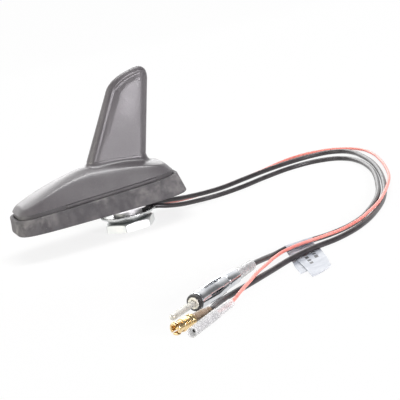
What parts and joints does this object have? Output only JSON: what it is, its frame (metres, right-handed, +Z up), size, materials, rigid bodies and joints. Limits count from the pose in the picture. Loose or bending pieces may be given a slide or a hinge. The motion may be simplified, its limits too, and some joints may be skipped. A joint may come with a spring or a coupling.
{
  "type": "shark fin aerial",
  "caption": "Vehicle roof aerial: swept fin on a low dome over a rubber skirt, with a clamp washer and nut on a slotted stud below and coaxial and supply leads with plugs and a flag label.",
  "frame": {"origin": "where the mounting stud's axis meets the plane of the roof", "axes": "+Z up, away from the roof; the nose points towards -X and the leads leave the stud towards +X"},
  "size_m": [0.2069, 0.2723, 0.0824],
  "materials": {
    "shell_plastic": "finely grained satin",
    "skirt_rubber": "dull moulded rubber with dust",
    "tray_plastic": "satin",
    "seal_rubber": "matt",
    "zinc": "bright zinc plate",
    "circuit_board": "solder mask",
    "tinned_steel": "tin plate",
    "black_plastic": "satin",
    "copper": "bare copper",
    "ivory_plastic": "satin",
    "lead_sheath": "extruded sheath, semi-gloss",
    "nickel_plate": "bright nickel plate",
    "clear_sleeve": "clear sleeve",
    "gilt": "gilt plate",
    "brown_sleeve": "translucent shrink sleeve",
    "wire_insulation": "satin",
    "label_film": "white label film"
  },
  "bodies": {
    "root": {"shell": "shell_plastic", "skirt": "skirt_rubber", "base_tray": "tray_plastic", "tray_seal": "seal_rubber", "mounting_stud": "zinc", "claw_washer": "zinc", "hex_nut": "zinc", "cable_grommet": "seal_rubber", "main_board": "circuit_board", "shield_can": "tinned_steel", "board_parts": "black_plastic", "board_screws": "zinc", "radiator_board": "circuit_board", "radiator_plate": "copper", "coil_former": "ivory_plastic", "loading_coil": "copper", "inner_leads": "ivory_plastic", "radio_lead": "lead_sheath", "radio_plug_sleeve": "nickel_plate", "radio_plug_collar": "nickel_plate", "radio_plug_insulator": "black_plastic", "radio_plug_bush": "ivory_plastic", "radio_plug_pin": "nickel_plate", "radio_plug_boot": "clear_sleeve", "digital_lead": "lead_sheath", "gilt_body": "gilt", "gilt_insulator": "ivory_plastic", "gilt_contact": "gilt", "gilt_ferrule": "gilt", "gilt_boot": "brown_sleeve", "supply_wire": "wire_insulation", "supply_terminal": "tinned_steel", "supply_boot": "clear_sleeve", "flag_label": "label_film"}
  },
  "joints": []
}
